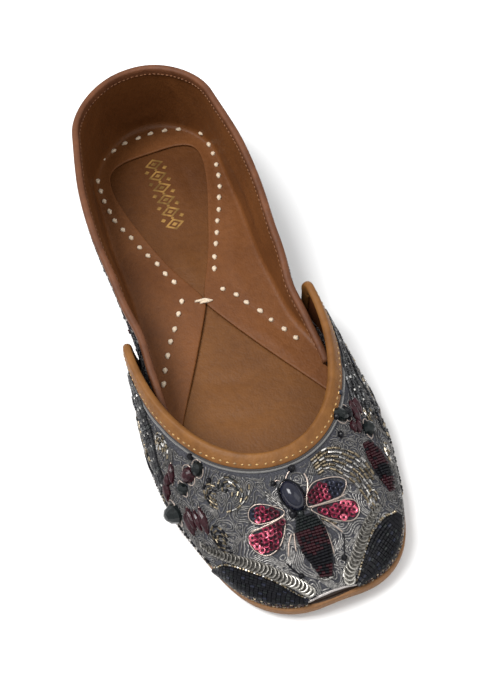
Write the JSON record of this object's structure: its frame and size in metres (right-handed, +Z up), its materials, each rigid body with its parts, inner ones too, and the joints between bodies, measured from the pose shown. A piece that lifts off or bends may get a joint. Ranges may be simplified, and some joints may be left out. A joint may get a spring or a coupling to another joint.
{
  "type": "slip-on shoe",
  "caption": "Flat leather slip-on with a square snub toe, an oval throat between two ears, and a decorated vamp lapped over a leather-lined quarter.",
  "frame": {"origin": "on the floor, under the middle of the outsole's length and width", "axes": "+X towards the toe, +Y towards the wearer's left, +Z up"},
  "size_m": [0.248, 0.0868, 0.048],
  "materials": {
    "sole_leather": "vegetable-tanned, cut edge",
    "footbed_leather": "smooth, light sheen",
    "lining_leather": "smooth, light sheen",
    "upper_cloth": "matte cloth under thread and bead work",
    "throat_leather": "smooth, folded",
    "collar_leather": "smooth, folded"
  },
  "bodies": {
    "root": {"outsole": "sole_leather", "insole": "footbed_leather", "lining_flange": "lining_leather", "upper": "upper_cloth", "throat_binding": "throat_leather", "collar_binding": "collar_leather"}
  },
  "joints": []
}
